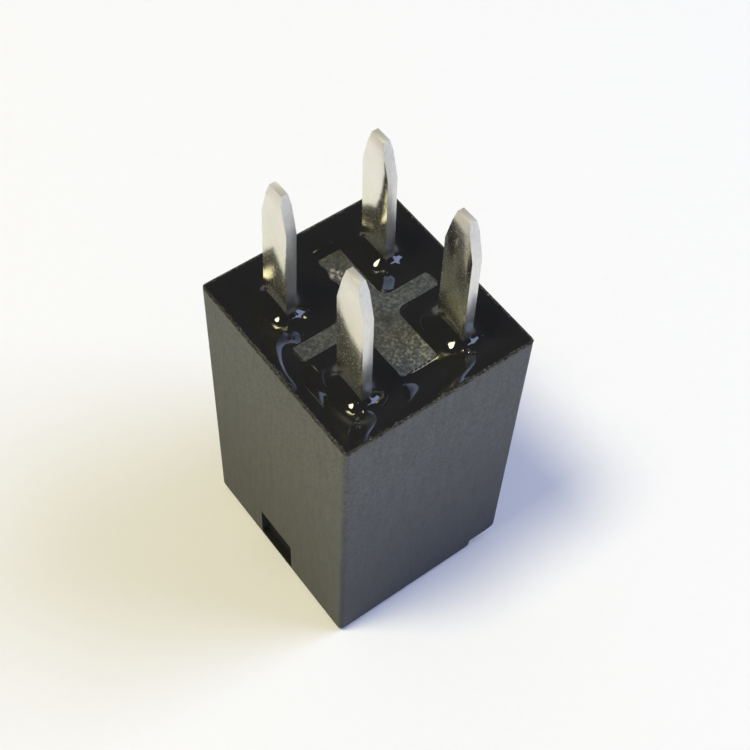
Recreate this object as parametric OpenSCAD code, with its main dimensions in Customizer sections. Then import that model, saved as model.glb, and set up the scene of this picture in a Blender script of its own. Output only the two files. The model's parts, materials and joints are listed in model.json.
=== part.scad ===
/* [Cover] */
// Width of the cover across the short sides, along X
case_width = 16.0; // [15.6:0.1:19]
// Depth of the cover, along Y
case_depth = 17.1; // [16.8:0.1:20]
// Height of the cover from its closed end to its rim
case_height = 26.8; // [25:0.1:34]
// Wall thickness of the cover's four sides
cover_wall = 0.85; // [0.7:0.05:1]
// Thickness of the cover's closed end
closed_end_wall = 1.0; // [0.7:0.05:1.4]
// Draft of each side, from the rim down to the closed end
cover_draft = 0.15; // [0:0.01:0.2]
// Radius of the four upright edges
corner_radius = 0.4; // [0.2:0.05:0.8]
// Radius round the closed end
closed_end_radius = 0.6; // [0.3:0.05:0.8]

/* [Cover details] */
// Width of the puller pocket in the left side
pocket_width = 4.1; // [3:0.1:6]
// Height of the puller pocket
pocket_height = 3.5; // [2:0.05:4]
// Depth of the puller pocket
pocket_depth = 0.6; // [0.4:0.05:1]
// Lip left between the pocket and the closed end
pocket_lip = 0.45; // [0.3:0.05:0.9]
// Distance of the pocket's middle from the middle of the side
pocket_offset = 0.35; // [-1.5:0.05:1.5]
// Width of the step along the right edge of the closed end
step_width = 2.9; // [1.5:0.1:3]
// Height of that step
step_height = 1.2; // [1:0.05:1.3]
// Radius of the step's two outer edges
step_radius = 0.9; // [0.4:0.05:0.95]
// Width of each inner rib that the base sits on
seat_rib_width = 1.0; // [0.6:0.1:1.2]
// How far each seat rib stands in from the wall
seat_rib_rise = 0.5; // [0.3:0.05:0.6]

/* [Blades] */
// Width of a terminal blade, along Y
blade_width = 2.8; // [2.4:0.1:3]
// Thickness of a terminal blade, along X
blade_thickness = 0.8; // [0.6:0.05:0.9]
// Length of a blade above the rim
blade_length = 11.4; // [8:0.1:15]
// Length of the tapered end of a blade
blade_taper = 3.1; // [1.5:0.1:4]
// Width of the flat at a blade's tip
tip_width = 1.3; // [0.8:0.05:2]
// Thickness of the flat at a blade's tip
tip_thickness = 0.5; // [0.3:0.05:0.55]
// Length of the coined bevels at a blade's tip
coin_length = 0.9; // [0.4:0.05:1.5]
// Distance from a blade's middle to the nearer of the cover's sides across X
blade_inset_x = 3.75; // [3.6:0.05:3.9]
// Distance from a blade's middle to the nearer of the cover's sides across Y
blade_inset_y = 4.2; // [4.05:0.05:4.3]

/* [Base] */
// Thickness of the base plate
base_thickness = 2.9; // [2.4:0.1:3.4]
// Depth of the base plate's ledge below the rim
ledge_depth = 1.4; // [1:0.05:2]
// Depth of the cross island's top below the rim
island_depth = 0.28; // [0.1:0.02:0.4]
// Width of the island's long arm, which runs along Y
long_arm_width = 3.1; // [2:0.1:3.4]
// Width of the island's short arm, which runs along X
short_arm_width = 1.4; // [0.8:0.1:2]
// Distance of the long arm's middle line from the middle of the base
long_arm_offset = 0.4; // [-0.5:0.05:0.5]
// Gap between the short arm's ends and the cover's walls
short_arm_gap = 1.3; // [0.8:0.05:2]
// Gap between the long arm's back end and the cover's wall
back_gap = 1.05; // [0.8:0.05:2]
// Gap between the long arm's front end and the cover's wall
front_gap = 2.2; // [1:0.05:2.6]
// Radius of the fillets between the arms
arm_fillet = 0.7; // [0.2:0.05:0.9]
// Depth of the well round each blade, below the ledge
well_depth = 0.5; // [0.2:0.05:1]
// Margin between a blade and the wall of its well
well_margin = 1.1; // [0.6:0.05:1.2]
// Height of the two legs that hold the coil, below the base plate
leg_height = 4.0; // [3.9:0.05:5]
// Width of the two legs
leg_width = 4.0; // [3:0.1:5]
// Thickness of the two legs
leg_thickness = 0.75; // [0.5:0.05:0.8]

/* [Resin] */
// Depth of the resin's level below the rim
resin_depth = 0.42; // [0.41:0.01:0.6]
// Height that the resin climbs up each blade
climb_height = 1.25; // [0.6:0.05:1.6]
// Distance over which the resin rises to a blade
climb_reach = 1.0; // [0.5:0.05:1.2]
// Distance over which the resin rises to the rim
rim_reach = 0.38; // [0.2:0.02:0.4]

/* [Magnet] */
// Room between the closed end and the pole face
swing_room = 4.2; // [4.1:0.1:6]
// Room between the yoke and the base plate
terminal_room = 1.0; // [0.9:0.05:1.6]
// Diameter of the iron core
core_diameter = 3.6; // [3:0.1:4]
// How far the core's pole face stands out past the armature's sides
pole_rim = 0.3; // [0:0.05:0.6]
// Thickness of the core's pole face
pole_thickness = 1.0; // [0.9:0.05:1.5]
// Diameter of the riveted end of the core
stake_diameter = 2.6; // [2:0.1:2.8]
// Thickness of the yoke
yoke_thickness = 1.2; // [1:0.05:1.25]
// Distance from the yoke's sides to the middle of the coil terminals
yoke_side_gap = 1.05; // [1:0.05:1.4]
// Thickness of the armature
armature_thickness = 1.2; // [1.15:0.05:1.4]
// How far the armature's free end is set in from the yoke's sides
nose_inset = 0.8; // [0.4:0.05:1.2]
// Diameter of the four rivets that hold the spring
rivet_diameter = 1.1; // [0.8:0.05:1.2]
// Diameter of those rivets' heads
rivet_head_diameter = 1.9; // [1.4:0.05:2]
// Height of those rivets' heads
rivet_head_height = 0.3; // [0.2:0.02:0.34]
// Distance between the two rivets of a pair
rivet_spacing = 2.6; // [2.2:0.1:2.8]
// Air left between the closed armature and the pole face
closed_gap = 0.08; // [0.04:0.01:0.15]

/* [Coil] */
// Thickness of each flange
flange_thickness = 0.9; // [0.7:0.05:1.2]
// Wall thickness of the bobbin's barrel
barrel_wall = 0.6; // [0.4:0.05:0.9]
// Rim of each flange that stands out past the winding
flange_rim = 0.7; // [0.5:0.05:1]
// Thickness of the tape round the winding
tape_thickness = 0.08; // [0.05:0.01:0.12]
// Diameter of the coil wire's two ends
lead_diameter = 0.18; // [0.12:0.01:0.3]

/* [Contacts] */
// Opening between the two contacts at rest
contact_opening = 0.65; // [0.4:0.05:0.7]
// Diameter of the contacts
contact_diameter = 2.0; // [1.6:0.1:2.2]
// Height of each contact's head
contact_height = 0.55; // [0.4:0.05:0.6]
// Thickness of the contact spring
spring_thickness = 0.15; // [0.1:0.01:0.2]
// How far the contact spring is set in from the yoke's sides
spring_inset = 0.7; // [0.4:0.05:1.1]
// Radius of the spring's bend round the hinge
spring_bend = 0.85; // [0.75:0.05:0.9]
// Length of the spring's arm on the yoke
spring_arm = 9.0; // [7:0.1:11]
// Width of the two inner legs beside the coil
inner_leg_width = 1.2; // [1:0.05:1.3]
// Thickness of the back stop
stop_thickness = 0.6; // [0.4:0.05:0.7]

/* [Fits] */
// Clearance round a blade in its slot, and between parts that slide together
slot_clearance = 0.04; // [0.02:0.01:0.08]
// Clearance between the base plate and the cover's walls
base_clearance = 0.1; // [0.05:0.01:0.2]
// Gap that is left at each end of a joint's travel
stop_clearance = 0.05; // [0.03:0.01:0.08]
// Gap that keeps live parts apart, and parts clear of the walls
insulation = 0.35; // [0.3:0.01:0.4]

/* [Hidden] */
$fn = 48;

black_plastic = [0.09, 0.09, 0.09];
dark_plastic = [0.16, 0.17, 0.16];
resin_black = [0.03, 0.03, 0.03];
tin = [0.80, 0.78, 0.72];
iron = [0.62, 0.63, 0.65];
copper = [0.72, 0.36, 0.18];
bronze = [0.78, 0.58, 0.30];
silver = [0.88, 0.88, 0.86];
nylon = [0.86, 0.84, 0.76];
tape_yellow = [0.85, 0.66, 0.12];

overlap = 0.2;  // length by which united or subtracted shapes run into each other

// Walls of the cover
rim_z = case_height;
cavity_x = case_width / 2 - cover_wall;
cavity_y = case_depth / 2 - cover_wall;
inner_corner = max(corner_radius - cover_wall / 2, 0.15);
floor_z = closed_end_wall;
step_x = case_width / 2 - step_width;
pocket_top = pocket_lip + pocket_height;

// Levels of the base and the resin
ledge_z = rim_z - ledge_depth;
base_z = ledge_z - base_thickness;
island_z = rim_z - island_depth;
resin_z = rim_z - resin_depth;
well_z = ledge_z - well_depth;

// The climb's level lip runs from inside each blade to beside it, so that the lean stays within it
climb_root = 0.15;
climb_lip = 0.12;
climb_sink = 0.01;  // how far the foot of a climb lies under the resin's level

// Places of the four blades, and how far each one leans along X and Y
pitch_x = case_width - 2 * blade_inset_x;
pitch_y = case_depth - 2 * blade_inset_y;
left_blade = [-pitch_x / 2, pitch_y / 2];
back_blade = [pitch_x / 2, pitch_y / 2];
right_blade = [pitch_x / 2, -pitch_y / 2];
front_blade = [-pitch_x / 2, -pitch_y / 2];
blades = [left_blade, back_blade, right_blade, front_blade];
left_lean = [0.6, -0.1];
back_lean = [-1.5, -0.2];
right_lean = [0, 0.7];
front_lean = [0.2, 1.5];
leans = [left_lean, back_lean, right_lean, front_lean];
inner_edge = pitch_x / 2 - blade_thickness / 2;

// Magnet system
yoke_width = pitch_x - 2 * yoke_side_gap;
pole_diameter = yoke_width + 2 * pole_rim;
armature_nose_width = yoke_width - 2 * nose_inset;
spring_width = yoke_width - 2 * spring_inset;
pole_z = floor_z + swing_room;
yoke_top = base_z - terminal_room;
yoke_low = yoke_top - yoke_thickness;
spring_space = 0.85;
yoke_out = cavity_y - spring_space;
yoke_in = yoke_out - yoke_thickness;
yoke_bend = 0.3;
lug_width = 2.2;
leg_edge = -cavity_y + insulation;
coil_gap = 0.25;  // between the bobbin's flanges and what stands beside them
flange_back = yoke_in - yoke_bend;
flange_front = leg_edge + inner_leg_width + 3 * coil_gap;
flange_depth = flange_back - flange_front;
flange_width = flange_depth - coil_gap;
coil_y = (flange_back + flange_front) / 2;
winding_diameter = flange_width - 2 * flange_rim;
low_flange_z = pole_z + pole_thickness;
low_coil_z = low_flange_z + flange_thickness;
high_coil_z = yoke_low - flange_thickness;
barrel_radius = core_diameter / 2 + slot_clearance + barrel_wall;
stake_head = 0.35;

// Posts of the coil terminals, and the leads that are soldered to them
post_half = 0.45;
post_low = yoke_low + overlap;
lead_run = 0.9;
lead_notch = [-flange_width / 2, pitch_y / 2 - post_half - lead_run];
solder_radius = yoke_side_gap - insulation;

// Legs of the base and the ears of the bobbin's flange that they hold
leg_out = cavity_x - insulation;
leg_in = leg_out - leg_thickness;
ear_x = leg_in - slot_clearance;
catch_depth = 0.4;
catch_top = high_coil_z - slot_clearance;
leg_low = base_z - leg_height;
stop_anchor_z = base_z + base_thickness / 2;

// Cross island on the base
island_x = cavity_x - short_arm_gap;
island_back = cavity_y - back_gap;
island_front = -cavity_y + front_gap;
island_radius = 0.25;
long_arm_x0 = long_arm_offset - long_arm_width / 2;
long_arm_x1 = long_arm_offset + long_arm_width / 2;

// Hinge of the armature and the contacts, which are drawn closed and then opened
contact_margin = 0.6;  // between the contacts and the cover's front wall
hinge_y = yoke_out;
hinge_z = pole_z - closed_gap;
spring_top = hinge_z - armature_thickness;
contact_y = -cavity_y + contact_diameter / 2 + contact_margin;
open_angle = atan(contact_opening / (hinge_y - contact_y));
fixed_face = spring_top + contact_height + stop_clearance;
tab_low = fixed_face + contact_height;
tab_width = contact_diameter + 0.2;
tab_thickness = blade_thickness;
rivet_tail = 0.22;
contact_shank = contact_diameter * 0.3;
armature_nose_y = contact_y + tab_width / 2 + insulation + 0.3;
yoke_rivet_z = pole_z + spring_arm - rivet_head_diameter - 0.3;
yoke_rivet_places = [for (side = [-1, 1]) [side * rivet_spacing / 2, yoke_rivet_z]];
armature_rivet_y = armature_nose_y + rivet_head_diameter + 0.5;
armature_rivet_places = [for (side = [-1, 1]) [side * rivet_spacing / 2, armature_rivet_y]];
tail_low = opened([contact_y, spring_top - spring_thickness - rivet_tail])[1];
stop_top = tail_low - contact_diameter / 2 * sin(open_angle) - stop_clearance;

// A point of the hinge's plane, as [y, z], carried from the closed place to the open one
function opened(p) = [
    hinge_y + (p[0] - hinge_y) * cos(open_angle) - (p[1] - hinge_z) * sin(open_angle),
    hinge_z + (p[0] - hinge_y) * sin(open_angle) + (p[1] - hinge_z) * cos(open_angle)
];

module at_open() {
    translate([0, hinge_y, hinge_z])
        rotate([open_angle, 0, 0])
            translate([0, -hinge_y, -hinge_z])
                children();
}

// A box given by its lowest and highest corners
module block(low, high) {
    translate(low)
        cube(high - low);
}

module rod(radius, low, high, place = [0, 0]) {
    translate([place[0], place[1], low])
        cylinder(r = radius, h = high - low);
}

// Four upright pins at the corners of a rectangle, for hull() to wrap
module corner_pins(half_x, half_y, radius, z) {
    for (sx = [-1, 1], sy = [-1, 1])
        translate([sx * (half_x - radius), sy * (half_y - radius), z])
            cylinder(r = radius, h = 0.01, $fn = 32);
}

function drafted(half, z) = half - cover_draft * (1 - z / case_height);

// An L in the plane, with the outside of its bend at the origin
module angle_profile(up, along, thickness, inner_radius) {
    outer_radius = inner_radius + thickness;
    translate([0, outer_radius])
        square([thickness, up - outer_radius]);
    translate([outer_radius, 0])
        square([along - outer_radius, thickness]);
    translate([outer_radius, outer_radius])
        intersection() {
            difference() {
                circle(r = outer_radius);
                circle(r = inner_radius);
            }
            translate([-outer_radius, -outer_radius])
                square(outer_radius);
        }
}

// ---- Cover -------------------------------------------------------------------

module cover_outside() {
    steps = 5;
    hull() {
        corner_pins(case_width / 2, case_depth / 2, corner_radius, rim_z - 0.01);
        for (i = [0:steps]) {
            turn = 90 * i / steps;
            inset = closed_end_radius * (1 - sin(turn));
            z = closed_end_radius * (1 - cos(turn));
            corner_pins(
                drafted(case_width / 2, z) - inset, drafted(case_depth / 2, z) - inset,
                corner_radius, z
            );
        }
    }
}

module cover_inside() {
    hull() {
        corner_pins(cavity_x, cavity_y, inner_corner, rim_z + overlap);
        corner_pins(drafted(cavity_x, floor_z), drafted(cavity_y, floor_z), inner_corner, floor_z);
    }
}

// The cut that rounds a square edge, with the edge at the origin and the solid to the lower left
module edge_round(radius) {
    translate([-radius, -radius])
        difference() {
            square(radius + overlap);
            circle(r = radius);
        }
}

module step_cut() {
    rotate([90, 0, 0])
        linear_extrude(height = case_depth + 2, center = true) {
            translate([step_x, -1])
                square([step_width + 1, step_height + 1]);
            translate([step_x, 0])
                mirror([0, 1])
                    edge_round(step_radius);
            translate([case_width / 2 - cover_draft, step_height])
                mirror([0, 1])
                    edge_round(step_radius);
        }
}

module pocket_cut() {
    translate([-case_width / 2 - 1, pocket_offset - pocket_width / 2, pocket_lip])
        cube([1 + cover_draft + pocket_depth, pocket_width, pocket_height]);
}

module cover() {
    side = -case_width / 2 + cover_draft;
    color(black_plastic)
        difference() {
            union() {
                difference() {
                    cover_outside();
                    cover_inside();
                }
                // Floor over the step
                block(
                    [step_x - cover_wall, -cavity_y - overlap, floor_z - overlap],
                    [cavity_x + overlap, cavity_y + overlap, step_height + closed_end_wall]
                );
                // Wall behind the pocket
                block(
                    [side + cover_wall / 2, pocket_offset - pocket_width / 2 - cover_wall, floor_z - overlap],
                    [
                        side + pocket_depth + cover_wall,
                        pocket_offset + pocket_width / 2 + cover_wall,
                        pocket_top + cover_wall
                    ]
                );
                for (sx = [-1, 1], sy = [-1, 1])
                    seat_rib(sx, sy);
            }
            step_cut();
            pocket_cut();
        }
}

module seat_rib(sx, sy) {
    rib_y = cavity_y - insulation - seat_rib_width;
    low = [cavity_x - seat_rib_rise, rib_y, floor_z - overlap];
    mirror([sx < 0 ? 1 : 0, 0])
        mirror([0, sy < 0 ? 1 : 0])
            block(low, [cavity_x + overlap, rib_y + seat_rib_width, base_z]);
}

// ---- Base --------------------------------------------------------------------

module rounded_plate(x0, x1, y0, y1, radius) {
    translate([x0 + radius, y0])
        square([x1 - x0 - 2 * radius, y1 - y0]);
    translate([x0, y0 + radius])
        square([x1 - x0, y1 - y0 - 2 * radius]);
    for (x = [x0 + radius, x1 - radius], y = [y0 + radius, y1 - radius])
        translate([x, y])
            circle(r = radius);
}

// The corner between two arms, filled out to a round
module arm_corner() {
    difference() {
        translate([-overlap, -overlap])
            square(arm_fillet + overlap);
        translate([arm_fillet, arm_fillet])
            circle(r = arm_fillet);
    }
}

module island_outline() {
    rounded_plate(long_arm_x0, long_arm_x1, island_front, island_back, island_radius);
    rounded_plate(-island_x, island_x, -short_arm_width / 2, short_arm_width / 2, island_radius);
    for (side = [0, 1]) {
        mirror([0, side])
            translate([long_arm_x1, short_arm_width / 2])
                arm_corner();
        mirror([0, side])
            translate([long_arm_x0, short_arm_width / 2])
                mirror([1, 0])
                    arm_corner();
    }
}

module wells(low, high) {
    for (place = blades)
        translate([place[0], place[1], low])
            linear_extrude(height = high - low)
                rounded_plate(
                    -blade_thickness / 2 - well_margin, blade_thickness / 2 + well_margin,
                    -blade_width / 2 - well_margin, blade_width / 2 + well_margin, well_margin * 0.7
                );
}

module blade_slots(clearance) {
    half = [blade_thickness / 2 + clearance, blade_width / 2 + clearance];
    for (place = blades)
        block(
            [place[0] - half[0], place[1] - half[1], base_z - overlap],
            [place[0] + half[0], place[1] + half[1], ledge_z + overlap]
        );
}

module base_leg(side) {
    mirror([side < 0 ? 1 : 0, 0]) {
        block([leg_in, -leg_width / 2, leg_low], [leg_out, leg_width / 2, base_z + overlap]);
        // Catch under the ear of the bobbin's flange
        translate([0, leg_width / 2, 0])
            rotate([90, 0, 0])
                linear_extrude(height = leg_width)
                    polygon([
                        [leg_in + overlap, leg_low],
                        [leg_in, leg_low],
                        [leg_in - catch_depth, catch_top - catch_depth],
                        [leg_in - catch_depth, catch_top],
                        [leg_in + overlap, catch_top]
                    ]);
    }
}

module stop_slot(clearance) {
    block(
        [-pitch_x / 2 - stop_thickness / 2 - clearance, leg_edge - clearance, base_z - overlap],
        [-pitch_x / 2 + stop_thickness / 2 + clearance, leg_edge + inner_leg_width + clearance, stop_anchor_z]
    );
}

module base() {
    half_x = cavity_x - cover_draft - base_clearance;
    half_y = cavity_y - cover_draft - base_clearance;
    color(dark_plastic)
        difference() {
            union() {
                translate([0, 0, base_z])
                    linear_extrude(height = base_thickness)
                        rounded_plate(-half_x, half_x, -half_y, half_y, 0.4);
                translate([0, 0, ledge_z - overlap])
                    linear_extrude(height = island_z - ledge_z + overlap)
                        island_outline();
                base_leg(1);
                base_leg(-1);
            }
            wells(well_z, ledge_z + overlap);
            blade_slots(slot_clearance);
            stop_slot(slot_clearance);
        }
}

// ---- Resin -------------------------------------------------------------------

// Section of resin that climbs a wall: level as far as the lip, then falling over the reach
module climb_profile(height, lip, reach) {
    steps = 6;
    polygon(concat(
        [[0, height - climb_sink], [0, -overlap], [lip + reach, -overlap]],
        [for (i = [0:steps]) [
            lip + reach * (1 - sin(90 * i / steps)),
            height * (1 - cos(90 * i / steps)) - climb_sink
        ]]
    ));
}

// Resin round a rectangle: a climbing strip along each side and a turned piece at each corner
module climb_round(half_x, half_y, height, lip, reach) {
    for (side = [0, 1]) {
        along = side == 0 ? half_y : half_x;
        out = side == 0 ? half_x : half_y;
        for (turn = [0, 180])
            rotate([0, 0, side * 90 + turn])
                translate([out, along, 0])
                    rotate([90, 0, 0])
                        linear_extrude(height = 2 * along)
                            climb_profile(height, lip, reach);
    }
    for (corner = [[1, 1, 0], [-1, 1, 90], [-1, -1, 180], [1, -1, 270]])
        translate([corner[0] * half_x, corner[1] * half_y, 0])
            rotate([0, 0, corner[2]])
                rotate_extrude(angle = 90)
                    climb_profile(height, lip, reach);
}

module rim_climb() {
    for (side = [0, 1]) {
        along = side == 0 ? cavity_y : cavity_x;
        out = side == 0 ? cavity_x : cavity_y;
        for (turn = [0, 180])
            rotate([0, 0, side * 90 + turn])
                translate([-out - overlap, along, 0])
                    rotate([90, 0, 0])
                        linear_extrude(height = 2 * along)
                            climb_profile(resin_depth - climb_sink, overlap, rim_reach);
    }
}

// The inside of the cover from the base's ledge up, with the walls taken as upright
module rim_space(low, high) {
    half_x = drafted(cavity_x, ledge_z - ledge_depth);
    half_y = drafted(cavity_y, ledge_z - ledge_depth);
    translate([0, 0, low])
        linear_extrude(height = high - low)
            rounded_plate(-half_x, half_x, -half_y, half_y, inner_corner);
}

module sealing_resin() {
    color(resin_black)
        difference() {
            union() {
                rim_space(ledge_z, resin_z);
                wells(well_z, ledge_z + overlap);
                for (place = blades)
                    translate([place[0], place[1], resin_z])
                        climb_round(
                            blade_thickness / 2 - climb_root, blade_width / 2 - climb_root,
                            climb_height, climb_root + climb_lip, climb_reach - climb_lip
                        );
                intersection() {
                    translate([0, 0, resin_z])
                        rim_climb();
                    rim_space(resin_z - overlap, rim_z);
                }
            }
            translate([0, 0, ledge_z - overlap])
                linear_extrude(height = island_z - ledge_z + overlap)
                    island_outline();
            for (i = [0:3])
                blade(i, well_z - overlap);
        }
}

// ---- Terminals ---------------------------------------------------------------

// The blade as seen along X: straight sides, then a taper to the tip
module blade_outline(low) {
    half = blade_width / 2;
    shoulder = rim_z + blade_length - blade_taper;
    top = rim_z + blade_length;
    polygon([
        [-half, low], [half, low], [half, shoulder], [tip_width / 2, top],
        [-tip_width / 2, top], [-half, shoulder]
    ]);
}

// The blade as seen along Y: parallel faces, coined at the tip
module blade_section(low) {
    half = blade_thickness / 2;
    top = rim_z + blade_length;
    polygon([
        [-half, low], [half, low], [half, top - coin_length], [tip_thickness / 2, top],
        [-tip_thickness / 2, top], [-half, top - coin_length]
    ]);
}

module straight_blade(low) {
    intersection() {
        rotate([90, 0, 90])
            linear_extrude(height = 2 * blade_thickness, center = true)
                blade_outline(low);
        rotate([90, 0, 0])
            linear_extrude(height = 2 * blade_width, center = true)
                blade_section(low);
    }
}

// One blade from the given level up, leaning from the foot of its well
module blade(i, low) {
    translate([blades[i][0], blades[i][1], well_z])
        rotate([-leans[i][1], leans[i][0], 0])
            translate([0, 0, -well_z])
                straight_blade(well_z - overlap);
    block(
        [blades[i][0] - blade_thickness / 2, blades[i][1] - blade_width / 2, low],
        [blades[i][0] + blade_thickness / 2, blades[i][1] + blade_width / 2, well_z]
    );
}

module terminal_plate(place, y0, y1, low) {
    block(
        [place[0] - blade_thickness / 2, y0, low],
        [place[0] + blade_thickness / 2, y1, base_z]
    );
}

module common_terminal() {
    color(tin) {
        blade(1, base_z - overlap);
        terminal_plate(back_blade, back_blade[1] - blade_width / 2, yoke_out + 0.2, yoke_low + overlap);
    }
}

module normally_open_terminal() {
    plate_low = base_z - inner_leg_width - 0.4;
    outside = pitch_x / 2 + blade_thickness / 2;
    color(tin)
        difference() {
            union() {
                blade(2, base_z - overlap);
                terminal_plate(right_blade, leg_edge, right_blade[1] + blade_width / 2, plate_low);
                // Leg beside the coil, bent over to carry the fixed contact
                translate([outside, leg_edge + inner_leg_width, tab_low])
                    rotate([90, 0, 0])
                        linear_extrude(height = inner_leg_width)
                            mirror([1, 0])
                                angle_profile(
                                    plate_low + overlap - tab_low, outside - inner_edge + 1.2,
                                    blade_thickness, 0.3
                                );
                block(
                    [-tab_width / 2, contact_y - tab_width / 2, tab_low],
                    [inner_edge - 0.3, contact_y + tab_width / 2, tab_low + tab_thickness]
                );
            }
            rod(contact_shank, tab_low - overlap, tab_low + tab_thickness + overlap, [0, contact_y]);
        }
}

module coil_terminal(i) {
    shoulder = blade_width / 2 + 0.3;
    y = blades[i][1];
    color(tin) {
        blade(i, base_z - overlap);
        terminal_plate(blades[i], y - shoulder, y + shoulder, base_z - 0.6);
        terminal_plate(blades[i], y - post_half, y + post_half, post_low);
    }
}

module coil_terminal_left() {
    coil_terminal(0);
}

module coil_terminal_front() {
    coil_terminal(3);
}

// ---- Magnet system -----------------------------------------------------------

module yoke() {
    short_leg = yoke_out - (coil_y - core_diameter / 2 - 0.8);
    color(iron)
        difference() {
            union() {
                translate([-yoke_width / 2, yoke_out, yoke_top])
                    rotate([90, 0, 90])
                        mirror([1, 0])
                            mirror([0, 1])
                                linear_extrude(height = yoke_width)
                                    angle_profile(yoke_top - pole_z, short_leg, yoke_thickness, yoke_bend);
                // Lug that the common terminal is welded to
                block(
                    [yoke_width / 2 - overlap, yoke_in - lug_width, yoke_low],
                    [inner_edge, yoke_in - yoke_bend, yoke_top]
                );
            }
            rod(stake_diameter / 2, yoke_low - overlap, yoke_top + overlap, [0, coil_y]);
            for (place = yoke_rivet_places)
                translate([place[0], yoke_in - overlap, place[1]])
                    rotate([-90, 0, 0])
                        cylinder(r = rivet_diameter / 2, h = yoke_thickness + 2 * overlap);
        }
}

module core() {
    color(iron)
        translate([0, coil_y, 0])
            rotate_extrude()
                polygon([
                    [0, pole_z],
                    [pole_diameter / 2 - 0.15, pole_z],
                    [pole_diameter / 2, pole_z + 0.15],
                    [pole_diameter / 2, low_flange_z],
                    [core_diameter / 2, low_flange_z],
                    [core_diameter / 2, yoke_low],
                    [stake_diameter / 2, yoke_low],
                    [stake_diameter / 2, yoke_top],
                    [stake_diameter / 2 + 0.4, yoke_top],
                    [stake_diameter / 2 + 0.2, yoke_top + stake_head],
                    [0, yoke_top + stake_head]
                ]);
}

module flange(z) {
    translate([0, coil_y, z])
        linear_extrude(height = flange_thickness)
            rounded_plate(-flange_width / 2, flange_width / 2, -flange_depth / 2, flange_depth / 2, 1);
}

module bobbin() {
    color(nylon)
        difference() {
            union() {
                rod(barrel_radius, low_flange_z, yoke_low, [0, coil_y]);
                flange(low_flange_z);
                flange(high_coil_z);
                // Ears that the legs of the base catch
                block(
                    [-ear_x, -leg_width / 2 - 0.3, high_coil_z],
                    [ear_x, leg_width / 2 + 0.3, yoke_low]
                );
            }
            rod(core_diameter / 2 + slot_clearance, low_flange_z - overlap, yoke_low + overlap, [0, coil_y]);
            for (side = [-1, 1])
                rod(0.5, high_coil_z - overlap, yoke_low + overlap, [lead_notch[0], side * lead_notch[1]]);
        }
}

module coil_winding() {
    color(copper)
        translate([0, coil_y, 0])
            rotate_extrude()
                translate([barrel_radius + 0.02, low_coil_z + 0.02])
                    square([winding_diameter / 2 - barrel_radius - 0.02, high_coil_z - low_coil_z - 0.04]);
}

module coil_tape() {
    edge = 0.5;
    color(tape_yellow)
        translate([0, coil_y, 0])
            rotate_extrude()
                translate([winding_diameter / 2, low_coil_z + edge])
                    square([tape_thickness, high_coil_z - low_coil_z - 2 * edge]);
}

// A round wire through a list of points
module wire(points, radius) {
    for (i = [0:len(points) - 2])
        hull() {
            translate(points[i])
                sphere(r = radius, $fn = 8);
            translate(points[i + 1])
                sphere(r = radius, $fn = 8);
        }
}

// From the edge of the winding, up through the flange's notch, to the terminal's post
module coil_lead(place) {
    side = sign(place[1]);
    notch_y = side * lead_notch[1];
    radius = lead_diameter / 2;
    winding_edge = winding_diameter / 2 + radius;
    reach = sqrt(pow(winding_edge, 2) - pow(notch_y - coil_y, 2));
    color(copper)
        wire([
            [-reach, notch_y, high_coil_z - 0.3],
            [lead_notch[0], notch_y, high_coil_z],
            [lead_notch[0], notch_y, yoke_low + 0.3],
            [place[0], place[1] - side * (post_half + radius), yoke_low + 0.6]
        ], radius);
}

module coil_lead_left() {
    coil_lead(left_blade);
}

module coil_lead_front() {
    coil_lead(front_blade);
}

module solder_joint(place) {
    color(silver)
        difference() {
            translate([place[0], place[1], 0])
                rotate_extrude()
                    polygon([
                        [0, yoke_low + 0.08],
                        [solder_radius * 0.65, yoke_low + 0.12],
                        [solder_radius * 0.97, yoke_low + 0.4],
                        [solder_radius, yoke_low + 0.8],
                        [solder_radius * 0.85, yoke_low + 1.2],
                        [0, yoke_low + 1.25]
                    ]);
            terminal_plate(place, place[1] - post_half, place[1] + post_half, post_low);
            coil_lead(place);
        }
}

module solder_joint_left() {
    solder_joint(left_blade);
}

module solder_joint_front() {
    solder_joint(front_blade);
}

// ---- Armature and contacts ---------------------------------------------------

// The spring's outline in the hinge's plane, as [y, z]: the open arm, the bend and the fixed arm
module spring_outline() {
    arm_y = yoke_out + slot_clearance + spring_thickness / 2;
    below = opened([hinge_y, spring_top - spring_thickness / 2]);
    bend_y = arm_y - spring_bend;
    bend_z = below[1]
        + (spring_bend + (bend_y - below[0]) * sin(open_angle)) / cos(open_angle);
    tip = opened([contact_y - contact_diameter / 2, spring_top - spring_thickness / 2]);
    steps = 10;
    turns = [for (i = [0:steps]) open_angle - 90 + i * (90 - open_angle) / steps];
    half = spring_thickness / 2;
    normal = [-sin(open_angle), cos(open_angle)] * half;
    outer = [for (t = turns) [bend_y, bend_z] + (spring_bend + half) * [cos(t), sin(t)]];
    inner = [for (t = turns) [bend_y, bend_z] + (spring_bend - half) * [cos(t), sin(t)]];
    top = pole_z + spring_arm;
    polygon(concat(
        [tip + normal, tip - normal],
        outer,
        [[arm_y + half, top], [arm_y - half, top]],
        [for (i = [steps:-1:0]) inner[i]]
    ));
}

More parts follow.
